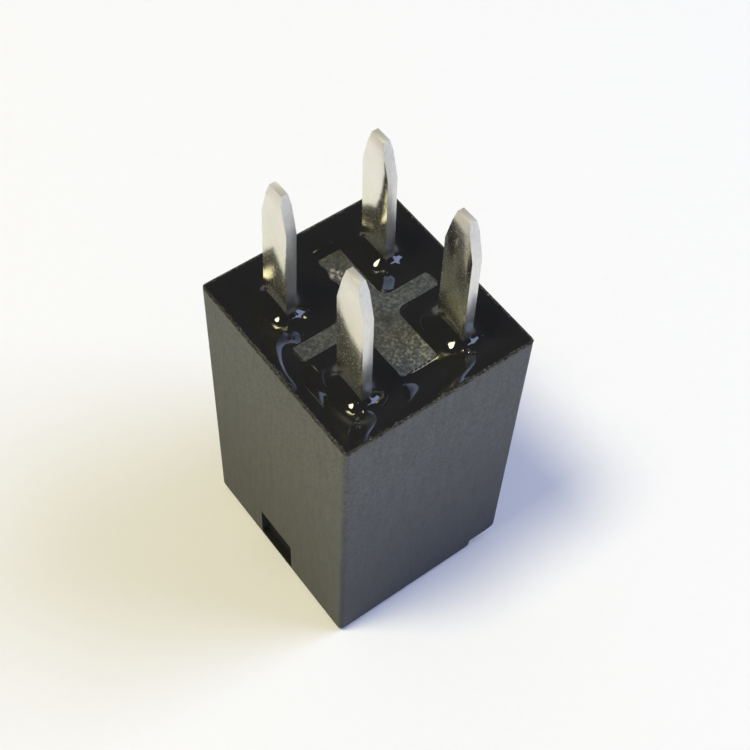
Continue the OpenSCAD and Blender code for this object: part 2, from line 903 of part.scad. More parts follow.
module contact_spring() {
    nose = contact_diameter + 0.6;
    color(bronze)
        difference() {
            rotate([90, 0, 90])
                linear_extrude(height = spring_width, center = true)
                    spring_outline();
            at_open() {
                // The arm narrows past the armature
                for (side = [-1, 1])
                    translate([0, 0, spring_top - spring_thickness - overlap])
                        linear_extrude(height = spring_thickness + 2 * overlap)
                            polygon([
                                [side * nose / 2, contact_y - contact_diameter],
                                [side * spring_width, contact_y - contact_diameter],
                                [side * spring_width, armature_nose_y + 0.6],
                                [side * spring_width / 2, armature_nose_y + 0.6],
                                [side * nose / 2, armature_nose_y - 0.4]
                            ]);
                for (place = armature_rivet_places)
                    rod(rivet_diameter / 2, spring_top - 1, spring_top + 1, place);
                rod(contact_shank, spring_top - 1, spring_top + 1, [0, contact_y]);
            }
            for (place = yoke_rivet_places)
                translate([place[0], yoke_out - overlap, place[1]])
                    rotate([-90, 0, 0])
                        cylinder(r = rivet_diameter / 2 + slot_clearance, h = 1);
        }
}

module rivet_head() {
    cylinder(d1 = rivet_head_diameter, d2 = rivet_head_diameter * 0.8, h = rivet_head_height);
}

module yoke_rivets() {
    head_y = yoke_out + 2 * slot_clearance + spring_thickness;
    color(iron)
        for (place = yoke_rivet_places)
            translate([place[0], 0, place[1]])
                rotate([-90, 0, 0]) {
                    translate([0, 0, yoke_in])
                        cylinder(r = rivet_diameter / 2, h = head_y - yoke_in + 0.1);
                    translate([0, 0, head_y])
                        rivet_head();
                }
}

module armature() {
    half = yoke_width / 2;
    nose = armature_nose_width / 2;
    knife = spring_bend + 0.1;
    color(iron)
        at_open()
            difference() {
                translate([0, 0, spring_top])
                    linear_extrude(height = armature_thickness)
                        polygon([
                            [-half, hinge_y - slot_clearance],
                            [-half, armature_nose_y + 3],
                            [-nose, armature_nose_y],
                            [nose, armature_nose_y],
                            [half, armature_nose_y + 3],
                            [half, hinge_y - slot_clearance]
                        ]);
                // Knife edge that rocks on the yoke and leaves room for the spring's bend
                translate([-half - 1, hinge_y, spring_top])
                    rotate([90, 0, 90])
                        linear_extrude(height = yoke_width + 2)
                            polygon([
                                [-knife, -overlap], [overlap, -overlap], [overlap, knife],
                                [0, knife], [-knife, 0]
                            ]);
                for (place = armature_rivet_places)
                    rod(rivet_diameter / 2, spring_top - 1, hinge_z + 1, place);
            }
}

module armature_rivets() {
    color(iron)
        at_open()
            for (place = armature_rivet_places) {
                rod(rivet_diameter / 2, spring_top - spring_thickness - 0.1, hinge_z - 0.03, place);
                translate([place[0], place[1], spring_top - spring_thickness])
                    mirror([0, 0, 1])
                        rivet_head();
            }
}

// A contact's head: flat at the foot and slightly domed
module contact_head(height) {
    radius = contact_diameter / 2;
    rotate_extrude()
        polygon([[0, 0], [radius, 0], [radius, height * 0.7], [radius * 0.75, height], [0, height]]);
}

module moving_contact() {
    under = spring_top - spring_thickness;
    color(silver)
        at_open() {
            translate([0, contact_y, spring_top])
                contact_head(contact_height);
            rod(contact_shank, under - rivet_tail / 2, spring_top + 0.1, [0, contact_y]);
            rod(contact_shank + 0.25, under - rivet_tail, under, [0, contact_y]);
        }
}

module fixed_contact() {
    top = tab_low + tab_thickness;
    color(silver) {
        translate([0, contact_y, tab_low])
            mirror([0, 0, 1])
                contact_head(contact_height);
        rod(contact_shank, tab_low - 0.1, top + rivet_tail / 2, [0, contact_y]);
        rod(contact_shank + 0.25, top, top + rivet_tail, [0, contact_y]);
    }
}

// A bent strip held in the base, which the spring rests on while the coil is off
module back_stop() {
    outside = -pitch_x / 2 - stop_thickness / 2;
    low = stop_top - stop_thickness;
    color(tin) {
        translate([outside, leg_edge + inner_leg_width, low])
            rotate([90, 0, 0])
                linear_extrude(height = inner_leg_width)
                    angle_profile(stop_anchor_z - slot_clearance - low, 1.6, stop_thickness, 0.3);
        block(
            [outside + 1.0, contact_y - tab_width / 2, low],
            [tab_width / 2, contact_y + tab_width / 2, stop_top]
        );
    }
}

cover();
base();
sealing_resin();
common_terminal();
normally_open_terminal();
coil_terminal_left();
coil_terminal_front();
yoke();
core();
bobbin();
coil_winding();
coil_tape();
coil_lead_left();
coil_lead_front();
solder_joint_left();
solder_joint_front();
contact_spring();
yoke_rivets();
armature();
armature_rivets();
moving_contact();
fixed_contact();
back_stop();
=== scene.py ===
import json
import math
import random
import bmesh
import bpy
from bpy.props import FloatProperty, FloatVectorProperty, IntProperty, PointerProperty
from mathutils import Matrix, Vector, noise


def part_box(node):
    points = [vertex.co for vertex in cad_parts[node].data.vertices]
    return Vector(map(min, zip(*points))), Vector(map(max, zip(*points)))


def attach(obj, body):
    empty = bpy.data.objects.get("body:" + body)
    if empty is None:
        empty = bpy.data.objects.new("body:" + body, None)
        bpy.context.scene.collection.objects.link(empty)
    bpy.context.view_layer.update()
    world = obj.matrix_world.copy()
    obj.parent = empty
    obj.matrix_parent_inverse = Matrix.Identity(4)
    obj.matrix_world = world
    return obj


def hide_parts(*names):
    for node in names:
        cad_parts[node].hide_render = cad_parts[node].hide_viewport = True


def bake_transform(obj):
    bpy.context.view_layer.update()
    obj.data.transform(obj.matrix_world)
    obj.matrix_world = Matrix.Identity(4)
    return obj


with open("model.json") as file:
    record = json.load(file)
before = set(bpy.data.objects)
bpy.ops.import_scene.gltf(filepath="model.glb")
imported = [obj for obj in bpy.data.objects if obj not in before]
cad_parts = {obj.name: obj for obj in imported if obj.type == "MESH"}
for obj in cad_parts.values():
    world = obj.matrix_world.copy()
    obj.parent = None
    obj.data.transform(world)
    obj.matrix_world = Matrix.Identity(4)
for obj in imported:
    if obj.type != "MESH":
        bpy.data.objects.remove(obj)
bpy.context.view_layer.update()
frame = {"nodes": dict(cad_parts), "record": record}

bl_info = {
    "name": "Sealed Relay Dressing",
    "version": (1, 0, 0),
    "blender": (4, 5, 0),
    "location": "View3D > Sidebar > Relay",
    "description": "Finishes, potting resin, coil, spring and studio for a sealed four-blade relay",
    "category": "Object",
}

MM = 0.001

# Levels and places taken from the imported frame, in millimetres
COVER_HIGH = Vector(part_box("cover")[1]) / MM
RIM_Z = COVER_HIGH.z
OUT_X = COVER_HIGH.x
OUT_Y = COVER_HIGH.y
ISLAND_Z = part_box("base")[1][2] / MM
BLADES = {
    mount["name"]: (mount["pos_m"][0] / MM, mount["pos_m"][1] / MM)
    for mount in frame["record"]["mounts"]
    if "blade" in mount["name"]
}

# Sizes of the solids that the finishes and the resin meet, in millimetres
COVER_WALL = 0.85
LEDGE_Z = RIM_Z - 1.4
BLADE_HALF_X = 0.4
BLADE_HALF_Y = 1.4
CAVITY_X = OUT_X - COVER_WALL
CAVITY_Y = OUT_Y - COVER_WALL
ISLAND_LONG_X = (-1.15, 1.95)
ISLAND_LONG_Y = (-CAVITY_Y + 2.2, CAVITY_Y - 1.05)
ISLAND_SHORT_X = CAVITY_X - 1.3
ISLAND_SHORT_Y = 0.7
POCKET_Y = 0.35
POCKET_HALF = 2.05
POCKET_TOP = 3.95

BLADE_NODES = ("common_terminal", "normally_open_terminal", "coil_terminal_left", "coil_terminal_front")

# Distances in metres under which two corners of a mesh are one
WELD = 1e-6
FINE_WELD = 1e-7

# White of the room behind the table, and where the floor passes into it, in millimetres
BACKDROP = (0.96, 0.955, 0.94)
BLACK = (0.0, 0.0, 0.0)
FLOOR_FADE = (300.0, 1150.0)

# The camera's place in millimetres, its turns in degrees and its lens
CAMERA_PLACE = (-38.73, -48.15, 108.77)
CAMERA_AZIMUTH = 39.57
CAMERA_ELEVATION = 55.33
CAMERA_ROLL = 3.48
CAMERA_LENS = 71.74

# The point that the lights look at, the directions they stand in and how large they are, in metres
LIGHT_AIM = (0.0, 0.0, 0.012)
LIGHT_DISTANCE = 1.1
LAMP_DIRECTION = (-0.345, 0.10, 0.933)
LAMP_SIZE = (0.31, 0.31)
LOW_PANE_DIRECTION = (0.65, -0.34, 0.66)
LOW_PANE_SIZE = (0.62, 0.40)
HIGH_PANE_DIRECTION = (0.49, -0.26, 0.84)
HIGH_PANE_SIZE = (0.62, 0.20)
TABLE_RADIUS = 1.4


# ---- Settings ----------------------------------------------------------------


def length(name, description, default):
    return FloatProperty(
        name=name, description=description, default=default, unit="LENGTH",
        subtype="DISTANCE", precision=5, min=0.0
    )


def colour(name, description, default):
    return FloatVectorProperty(
        name=name, description=description, default=default, subtype="COLOR", size=3, min=0.0, max=1.0
    )


class StageSettings(bpy.types.PropertyGroup):
    floor_colour: colour("Floor", "Colour of the table top", (0.93, 0.926, 0.93))
    lamp_colour: colour("Lamp", "Colour of the high lamp", (1.0, 0.93, 0.62))
    lamp_power: FloatProperty(
        name="Lamp power", description="Power of the high lamp", default=8.1, unit="POWER", min=0.0
    )
    window_colour: colour("Window", "Colour of the window's light", (0.52, 0.63, 1.0))
    window_power: FloatProperty(
        name="Window power", description="Power of the window's light", default=7.3, unit="POWER", min=0.0
    )
    room_colour: colour("Room", "Light that comes from the whole room", (0.215, 0.215, 0.235))


class CoverSettings(bpy.types.PropertyGroup):
    plastic: colour("Plastic", "Colour of the cover", (0.088, 0.090, 0.071))
    grain: length("Grain", "Size of the moulded grain", 0.00022)


class BaseSettings(bpy.types.PropertyGroup):
    plastic: colour("Plastic", "Colour of the base's cross", (0.045, 0.048, 0.044))
    speckle: length("Speckle", "Size of the speckles", 0.00022)


class ResinSettings(bpy.types.PropertyGroup):
    colour: colour("Resin", "Colour of the potting resin", (0.0045, 0.0047, 0.0050))
    climb: length("Climb", "Height that the resin climbs up a blade", 0.00062)
    mound: length("Mound", "Reach of the slope round each blade", 0.00155)
    level: length("Level", "Depth of the resin below the rim", 0.0003)
    film: length("Film", "Thickness of the film on the cover's rim", 0.00007)
    bubbles: IntProperty(name="Bubbles", description="Number of small bubbles", default=10, min=0)
    crumbs: IntProperty(name="Crumbs", description="Number of crumbs along the rim", default=130, min=0)
    seed: IntProperty(name="Seed", description="Start of the random draws", default=7)


class BladeSettings(bpy.types.PropertyGroup):
    tin: colour("Tin", "Colour of the tin plating", (0.80, 0.775, 0.69))
    edge: colour("Sheared edge", "Colour of the narrow sheared faces", (0.76, 0.755, 0.73))
    edge_round: length("Edge round", "Width of the softened edges", 0.00005)


class WorksSettings(bpy.types.PropertyGroup):
    wire: length("Wire", "Pitch of the coil's turns", 0.00016)
    copper: colour("Copper", "Colour of the enamelled wire", (0.50, 0.19, 0.07))
    bronze: colour("Bronze", "Colour of the contact spring", (0.70, 0.45, 0.22))


# ---- Shader expressions ------------------------------------------------------


class Wire:
    """A value inside a material. Sums and products on it add Math nodes."""

    def __init__(self, look, socket):
        self.look = look
        self.socket = socket

    def math(self, operation, *values):
        return self.look.node("ShaderNodeMath", {"operation": operation}, dict(enumerate(values)))

    def __add__(self, other):
        return self.math("ADD", self, other)

    def __sub__(self, other):
        return self.math("SUBTRACT", self, other)

    def __mul__(self, other):
        return self.math("MULTIPLY", self, other)

    def __radd__(self, other):
        return self.math("ADD", other, self)

    def __rsub__(self, other):
        return self.math("SUBTRACT", other, self)

    def __rmul__(self, other):
        return self.math("MULTIPLY", other, self)

    def __neg__(self):
        return self.math("MULTIPLY", self, -1.0)

    def __abs__(self):
        return self.math("ABSOLUTE", self)

    def above(self, other):
        """The larger of this value and another."""
        return self.math("MAXIMUM", self, other)

    def root(self):
        """The square root of this value."""
        return self.math("SQRT", self)


class Look:
    """A node tree under construction, for a material or for the world."""

    def __init__(self, tree):
        self.tree = tree
        tree.nodes.clear()
        self.place = None

    def node(self, kind, settings=None, values=None, result=0):
        """Makes a node with these settings and inputs, and returns one of its outputs."""
        made = self.tree.nodes.new(kind)
        for key, value in (settings or {}).items():
            setattr(made, key, value)
        for key, value in (values or {}).items():
            self.feed(self.socket(made.inputs, key), value)
        return Wire(self, self.socket(made.outputs, result)) if made.outputs else None

    @staticmethod
    def socket(sockets, key):
        """A socket by its number or its name."""
        if isinstance(key, int):
            return sockets[key]
        return next(s for s in sockets if key in (s.identifier, s.name))

    def feed(self, socket, value):
        """Links a wire to a socket, or sets the socket to a constant."""
        if isinstance(value, Wire):
            self.tree.links.new(value.socket, socket)
        elif socket.type == "RGBA" and len(value) == 3:
            socket.default_value = (*value, 1.0)
        else:
            socket.default_value = value

    def coords(self):
        """Object coordinates in millimetres."""
        if self.place is None:
            point = self.node("ShaderNodeTexCoord", None, None, "Object")
            self.place = self.shade(point, 1.0 / MM)
        return self.place

    def split(self, vector):
        """The three parts of a vector."""
        parts = self.node("ShaderNodeSeparateXYZ", None, {0: vector})
        return [Wire(self, part) for part in parts.socket.node.outputs]

    def axes(self):
        """The three parts of the object coordinates, in millimetres."""
        return self.split(self.coords())

    def facing(self):
        """The three parts of the direction that the surface faces."""
        return self.split(self.node("ShaderNodeNewGeometry", None, None, "Normal"))

    def stretch(self, x, y, z):
        """Coordinates scaled along each axis: below 1, a pattern on them is drawn out."""
        return self.node("ShaderNodeMapping", None, {"Vector": self.coords(), "Scale": (x, y, z)})

    def grain(self, size, detail=3.0, rough=0.55, coords=None):
        """Noise from 0 to 1 whose features have this size in millimetres."""
        values = {
            "Vector": coords or self.coords(), "Scale": 1.0 / size, "Detail": detail, "Roughness": rough,
        }
        return self.node("ShaderNodeTexNoise", None, values, "Fac")

    def cells(self, size):
        """Distance from the middle of the nearest cell, in cell sizes."""
        values = {"Vector": self.coords(), "Scale": 1.0 / size}
        return self.node("ShaderNodeTexVoronoi", {"feature": "F1"}, values, "Distance")

    def step(self, value, low, high, start=0.0, end=1.0):
        """A smooth change from start to end, as the value goes from low to high."""
        return self.node(
            "ShaderNodeMapRange", {"interpolation_type": "SMOOTHSTEP", "clamp": True},
            {"Value": value, "From Min": low, "From Max": high, "To Min": start, "To Max": end}, "Result",
        )

    def blend(self, factor, first, second):
        return self.node(
            "ShaderNodeMix", {"data_type": "RGBA", "clamp_factor": True},
            {"Factor_Float": factor, "A_Color": first, "B_Color": second}, "Result_Color",
        )

    def shade(self, tone, amount):
        """A colour or a vector times a value."""
        return self.node("ShaderNodeVectorMath", {"operation": "SCALE"}, {0: tone, "Scale": amount})

    def bump(self, height, depth, under=None):
        """A normal from a height of 0 to 1 that stands for this depth in millimetres."""
        values = {"Height": height, "Distance": depth * MM, "Strength": 1.0}
        if under is not None:
            values["Normal"] = under
        return self.node("ShaderNodeBump", None, values, "Normal")


def surface(name, build):
    """A new material: build returns what feeds each socket of its Principled shader."""
    material = bpy.data.materials.new(name)
    material.use_nodes = True
    look = Look(material.node_tree)
    feeds = build(look)
    shader = look.node("ShaderNodeBsdfPrincipled", None, feeds, "BSDF")
    look.node("ShaderNodeOutputMaterial", None, {"Surface": shader})
    return material


def dress(obj, material):
    """Gives a piece this one material."""
    obj.data.materials.clear()
    obj.data.materials.append(material)


# ---- Mesh helpers ------------------------------------------------------------


def finish_mesh(name, shape, body, replaced=(), smooth_angle=None):
    """Turns a bmesh into a piece of the object that rides on a body."""
    bmesh.ops.recalc_face_normals(shape, faces=shape.faces)
    mesh = bpy.data.meshes.new(name)
    shape.to_mesh(mesh)
    shape.free()
    if smooth_angle is None:
        mesh.polygons.foreach_set("use_smooth", [False] * len(mesh.polygons))
    else:
        mesh.polygons.foreach_set("use_smooth", [True] * len(mesh.polygons))
        mesh.set_sharp_from_angle(angle=math.radians(smooth_angle))
    mesh.update()
    piece = bpy.data.objects.new(name, mesh)
    bpy.context.scene.collection.objects.link(piece)
    if replaced:
        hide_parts(*replaced)
    if body:
        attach(piece, body)
    return piece


def merged_copy(node):
    """A bmesh of a frame node with its loose triangles joined and its flat faces made whole."""
    shape = bmesh.new()
    shape.from_mesh(frame["nodes"][node].data)
    bmesh.ops.remove_doubles(shape, verts=shape.verts, dist=WELD)
    bmesh.ops.dissolve_limit(
        shape, angle_limit=math.radians(0.5), verts=shape.verts, edges=shape.edges
    )
    return shape


def soften(shape, width, angle):
    """Rounds the edges of a bmesh that are sharper than an angle in degrees."""
    limit = math.radians(angle)
    sharp = [
        edge for edge in shape.edges
        if len(edge.link_faces) == 2 and edge.calc_face_angle(0.0) > limit
    ]
    bmesh.ops.bevel(
        shape, geom=sharp, offset=width, offset_type="OFFSET", affect="EDGES",
        segments=2, profile=0.5, material=-1, clamp_overlap=True,
    )


# ---- Resin -------------------------------------------------------------------


def ease(value, low, high):
    """A smooth rise from 0 to 1, as the value goes from low to high."""
    t = min(max((value - low) / (high - low), 0.0), 1.0)
    return t * t * (3.0 - 2.0 * t)


def outside_box(x, y, low_x, high_x, low_y, high_y, corner=0.0):
    """Signed distance of a point from a rounded rectangle, negative inside."""
    half_x = (high_x - low_x) / 2 - corner
    half_y = (high_y - low_y) / 2 - corner
    dx = abs(x - (low_x + high_x) / 2) - half_x
    dy = abs(y - (low_y + high_y) / 2) - half_y
    return math.hypot(max(dx, 0.0), max(dy, 0.0)) + min(max(dx, dy), 0.0) - corner


def ripple(x, y, size, offset=0.0):
    """Noise round 0 whose features have this size in millimetres."""
    return noise.noise(Vector((x / size, y / size, offset)))


def reach_of_run(x, y, start, end):
    """Distance of a point from the straight run between two others."""
    run_x, run_y = end[0] - start[0], end[1] - start[1]
    along = ((x - start[0]) * run_x + (y - start[1]) * run_y) / (run_x * run_x + run_y * run_y)
    along = min(max(along, 0.0), 1.0)
    return math.hypot(x - start[0] - along * run_x, y - start[1] - along * run_y)


def smooth_min(a, b, k):
    """The smaller of two values, rounded where they are within k of each other."""
    h = max(k - abs(a - b), 0.0) / k
    return min(a, b) - h * h * k / 4.0


class ResinSurface:
    """Height of the resin's top, in millimetres over the cover's closed end."""

    # Thin folds that the resin kept as it set, each a run of points
    FOLDS = (
        (
            (-7.45, 0.3), (-7.35, -0.5), (-7.2, -1.15), (-6.95, -1.6),
            (-6.65, -1.55), (-6.45, -0.9), (-6.33, 0.1),
        ),
        ((2.85, -6.1), (2.7, -6.9), (2.75, -7.7), (3.1, -8.1)),
        ((6.0, 0.9), (6.5, 1.9), (6.6, 3.2), (6.4, 4.6)),
    )
    FOLD_HEIGHT = 0.010
    FOLD_WIDTH = 0.085
    FOLD_REACH = 4.5

    # Beads of resin: x, y, size and height
    BEADS = (
        (3.84, -6.47, 0.13, 0.10), (4.0, -6.8, 0.11, 0.09), (-5.6, -6.3, 0.18, 0.12),
        (-5.75, -6.75, 0.13, 0.10), (-5.95, -7.1, 0.10, 0.07), (-0.9, -5.42, 0.07, 0.05),
        (-5.25, 1.45, 0.16, 0.05), (3.4, 2.2, 0.10, 0.05),
    )

    # Rounding of the cross island's outer corners, and of the corners between its arms
    ARM_CORNER = 0.3
    ARM_FILLET = 1.4

    # Rounded outline that the climb follows: half sizes of its core, and its radius
    CORE_X = 0.1
    CORE_Y = 1.0
    CORE_ROUND = 0.35
    BLADE_REACH = 2.6

    def __init__(self, settings):
        self.level = RIM_Z - settings.level / MM
        self.climb = settings.climb / MM
        self.mound = settings.mound / MM
        self.film = settings.film / MM
        draw = random.Random(settings.seed)
        self.lumps = list(self.BEADS)
        for _ in range(settings.bubbles):
            x = draw.uniform(-CAVITY_X + 0.3, CAVITY_X - 0.3)
            y = draw.uniform(-CAVITY_Y + 0.3, CAVITY_Y - 0.3)
            size = draw.uniform(0.05, 0.09)
            self.lumps.append((x, y, size, size * draw.uniform(0.2, 0.45)))
        for _ in range(settings.crumbs):
            along = draw.uniform(-0.99, 0.99)
            inset = draw.uniform(0.04, 0.24)
            x, y = {
                "left": (-OUT_X + inset, along * OUT_Y),
                "front": (along * OUT_X, -OUT_Y + inset),
                "right": (OUT_X - inset, along * OUT_Y),
                "back": (along * OUT_X, OUT_Y - inset),
            }[draw.choice(("left", "front", "front", "right", "back"))]
            size = draw.uniform(0.05, 0.10)
            self.lumps.append((x, y, size, size * draw.uniform(0.3, 0.7)))

    def island_distance(self, x, y):
        """Signed distance of a point from the cross island, negative on it."""
        long_arm = outside_box(x, y, *ISLAND_LONG_X, *ISLAND_LONG_Y, self.ARM_CORNER)
        short_arm = outside_box(
            x, y, -ISLAND_SHORT_X, ISLAND_SHORT_X, -ISLAND_SHORT_Y, ISLAND_SHORT_Y, self.ARM_CORNER
        )
        return smooth_min(long_arm, short_arm, self.ARM_FILLET)

    def round_blade(self, x, y, place, seed):
        """Height that the resin gains round a blade: a mound that falls off evenly, in a shallow bowl."""
        along = abs(y - place[1])
        across = abs(x - place[0])
        away = math.hypot(max(across - self.CORE_X, 0.0), max(along - self.CORE_Y, 0.0)) - self.CORE_ROUND
        if away > self.BLADE_REACH:
            return 0.0
        reach = self.mound * (1.0 + 0.08 * ripple(x, y, 2.2, seed))
        run = min(max(away, -0.15) / reach, 1.0)
        left = 1.0 - 1.4 * run + 0.4 * max(run, 0.0) ** 3.5
        # The climb sinks towards the blade's narrow faces, and more towards the front one
        flatness = 11.0 if y < place[1] else 40.0
        fall = min(along, 1.7) ** 2 / flatness * math.exp(-((away / 1.2) ** 2))
        bowl = 0.05 * (1.0 - ease(away, reach - 0.1, reach + 0.9))
        return self.climb * left - fall - bowl

    def fold(self, x, y):
        """Height that the folds add."""
        height = 0.0
        for points in self.FOLDS:
            if min(abs(x - points[0][0]), abs(y - points[0][1])) > self.FOLD_REACH:
                continue
            best = min(reach_of_run(x, y, a, b) for a, b in zip(points, points[1:]))
            height += self.FOLD_HEIGHT * math.exp(-((best / self.FOLD_WIDTH) ** 2))
        return height

    def height(self, x, y):
        """Height of the resin at a point, with everything that shapes it."""
        z = self.level + 0.011 * ripple(x, y, 3.1) + 0.0015 * ripple(x, y, 0.9, 4.0)
        for n, place in enumerate(BLADES.values()):
            z += self.round_blade(x, y, place, 9.0 + 10.0 * n)
        z += self.fold(x, y)

        # The resin wets the sides of the cross island, laps over one side of its long arm
        # and beads at the arm's front end
        island = self.island_distance(x, y)
        top = ISLAND_Z - 0.01
        if island > 0.0:
            z += max(top - z, 0.0) * math.exp(-island / 0.16)
        lap_edge = -1.25 + 1.3 * ease(y, 0.7, 2.4) + 0.22 * ripple(y, x, 0.9, 3.0)
        lapped = ease(lap_edge - x, -0.05, 0.12) * ease(y, 0.75, 1.1)
        if island <= 0.0:
            z = top - 0.05 + (0.085 + 0.01 * ripple(x, y, 0.5, 6.0)) * lapped
        beads = math.exp(-((y - ISLAND_LONG_Y[0] - 0.03) / 0.07) ** 2) * ease(1.1 - abs(x - 0.45), 0.0, 0.15)
        z += beads * (0.07 + 0.030 * math.sin(x * 17.0) + 0.02 * ripple(x, y, 0.3, 50.0))

        # Rise to the cover's rim and the film on it
        wall = min(CAVITY_X - abs(x), CAVITY_Y - abs(y))
        rise = ease(-wall, -2.0 - 0.5 * ease(y, 3.0, 5.5) + 0.15 * ripple(x, y, 3.0, 30.0), 0.35)
        film = self.film * (1.0 + 0.35 * ripple(x, y, 1.3, 40.0))
        z += (RIM_Z + film - z) * rise

        for lump_x, lump_y, size, tall in self.lumps:
            square = (x - lump_x) ** 2 + (y - lump_y) ** 2
            if square < 6.0 * size * size:
                z += tall * math.exp(-square / (size * size))
        return z


def lines(low, high, bands, coarse):
    """Places of grid lines from low to high, set closer inside the given (start, end, step) bands."""
    places = [low]
    while places[-1] < high - 1e-6:
        here = places[-1]
        gap = next((step for start, end, step in bands if start - 1e-6 <= here < end - 1e-6), coarse)
        nxt = here + gap
        for start, end, step in bands:
            if here < start - 1e-6 < nxt:
                nxt = start
        places.append(min(nxt, high))
    return places


def ragged(across, half, along):
    """Draws the outermost lines of the resin in by an uneven amount."""
    band = 0.4
    edge = min(max((abs(across) - half + band) / band, 0.0), 1.0)
    draw_in = 0.07 + 0.10 * ripple(along, half, 0.45, 60.0) + 0.05 * ripple(along, half, 0.17, 61.0)
    return across - math.copysign(edge * max(draw_in, 0.0), across)


def resin_body(settings):
    """The potting resin: a shaped top, a thin skirt on the rim and a flat underside on the base."""
    # The grid is fine along the rim and round the blades' faces, and coarse elsewhere
    margin = 0.05
    fine, coarse = 0.04, 0.075
    rim_band = 0.45
    bands_x = [(-OUT_X, -OUT_X + rim_band, fine), (OUT_X - rim_band, OUT_X, fine)]
    bands_y = [(-OUT_Y, -OUT_Y + rim_band, fine), (OUT_Y - rim_band, OUT_Y, fine)]
    for place_x, place_y in set(BLADES.values()):
        for side in (-1, 1):
            face_x = place_x + side * BLADE_HALF_X
            face_y = place_y + side * BLADE_HALF_Y
            bands_x.append((face_x - 0.35, face_x + 0.45, fine))
            bands_y.append((face_y - 0.25, face_y + 0.45, fine))
    columns = lines(-OUT_X + margin, OUT_X - margin, bands_x, coarse)
    rows = lines(-OUT_Y + margin, OUT_Y - margin, bands_y, coarse)

    shape = bmesh.new()
    bmesh.ops.create_grid(shape, x_segments=len(columns) - 1, y_segments=len(rows) - 1, size=0.5)
    surface_height = ResinSurface(settings)
    for vert in shape.verts:
        column = columns[round((vert.co.x + 0.5) * (len(columns) - 1))]
        row = rows[round((vert.co.y + 0.5) * (len(rows) - 1))]
        x = ragged(column, OUT_X, row)
        y = ragged(row, OUT_Y, column)
        vert.co = (x * MM, y * MM, surface_height.height(x, y) * MM)

    # Skirt down to the rim, in along the rim to the cavity, then down to the ledge
    seat_gap = 0.02
    outer_foot = RIM_Z - 0.015
    below_rim = (RIM_Z - 0.016) * MM
    limit_x, limit_y = (CAVITY_X - seat_gap) * MM, (CAVITY_Y - seat_gap) * MM
    for target in (outer_foot, RIM_Z - seat_gap, LEDGE_Z + seat_gap):
        edges = [edge for edge in shape.edges if edge.is_boundary]
        made = bmesh.ops.extrude_edge_only(shape, edges=edges)
        for vert in (item for item in made["geom"] if isinstance(item, bmesh.types.BMVert)):
            if target != outer_foot:
                vert.co.x = min(max(vert.co.x, -limit_x), limit_x)
                vert.co.y = min(max(vert.co.y, -limit_y), limit_y)
            vert.co.z = target * MM
    inner = [vert for vert in shape.verts if vert.co.z < below_rim]
    bmesh.ops.remove_doubles(shape, verts=inner, dist=FINE_WELD)
    edges = [edge for edge in shape.edges if edge.is_boundary]
    bmesh.ops.contextual_create(shape, geom=edges)
    return finish_mesh("potting_resin", shape, "housing", ("sealing_resin",), 60.0)


# ---- Finishes ----------------------------------------------------------------


def cover_finish(look):
    """Black moulded plastic with a grain, dust, a broken dark rim line and a dull recess, with painted shade
    towards the closed end, on the front face and in the recess, and a painted cool tint on the front face.
    """
    settings = bpy.context.scene.relay_cover
    x, y, z = look.axes()
    fine = look.step(look.grain(settings.grain / MM, 4.0, 0.6), 0.34, 0.66)
    broad = look.grain(2.6, 3.0, 0.5)
    patches = look.grain(0.8, 3.0, 0.55)
    streak = look.grain(0.42, 3.0, 0.55, look.stretch(1.0, 1.0, 0.14))
    dust = look.step(look.grain(0.16, 1.0, 0.4), 0.70, 0.78)
    # Painted shade: the cover's colour darkens towards the closed end and lightens towards the rim.
    painted_height_shade = look.step(z, 0.0, RIM_Z, 0.80, 1.26)
    tone = (0.11 + fine * 0.66 + broad * 0.26 + patches * 0.28 + streak * 0.52) * painted_height_shade
    # Painted shade and painted cool light on the front face: it is darkened towards the closed end and tinted
    # cooler and bluer than the other faces.
    front = look.step(-look.facing()[1], 0.3, 0.8)
    tone = tone * (1.0 - front * look.step(z, RIM_Z, -2.0, 0.0, 0.36))
    plastic_painted_front_tint = look.blend(look.step(z, RIM_Z - 4.0, 4.0), (0.074, 0.080, 0.084), (0.066, 0.075, 0.100))
    plastic_painted_front_tint = look.blend(front, tuple(settings.plastic), plastic_painted_front_tint)
    base = look.shade(plastic_painted_front_tint, tone)
    base = look.blend(dust * 0.35, base, (0.16, 0.155, 0.14))
    near_rim = look.step(z, RIM_Z - 0.16, RIM_Z - 0.02)
    rim_break = look.step(look.grain(0.22, 3.0, 0.6), 0.42, 0.6)
    base = look.blend(near_rim * rim_break, base, (0.018, 0.014, 0.010))
    # Painted shade in the pocket: its inside is painted near black, and the same mask makes it rougher
    deep = look.step(x, 0.15 - OUT_X, 0.3 - OUT_X) * look.step(x, 1.0 - OUT_X, 0.9 - OUT_X)
    dull_pocket_painted_shade = deep * look.step(z, POCKET_TOP + 0.05, POCKET_TOP - 0.1) * look.step(
        abs(y - POCKET_Y), POCKET_HALF + 0.05, POCKET_HALF - 0.1
    )
    base = look.blend(dull_pocket_painted_shade, base, (0.010, 0.010, 0.009))
    return {
        "Base Color": base,
        "Roughness": 0.42 + fine * 0.16 + broad * 0.10 + dull_pocket_painted_shade * 0.4,
        "IOR": 1.5,
        "Specular IOR Level": 0.22,
        "Normal": look.bump(fine * 0.6 + streak * 0.4, 0.018),
    }


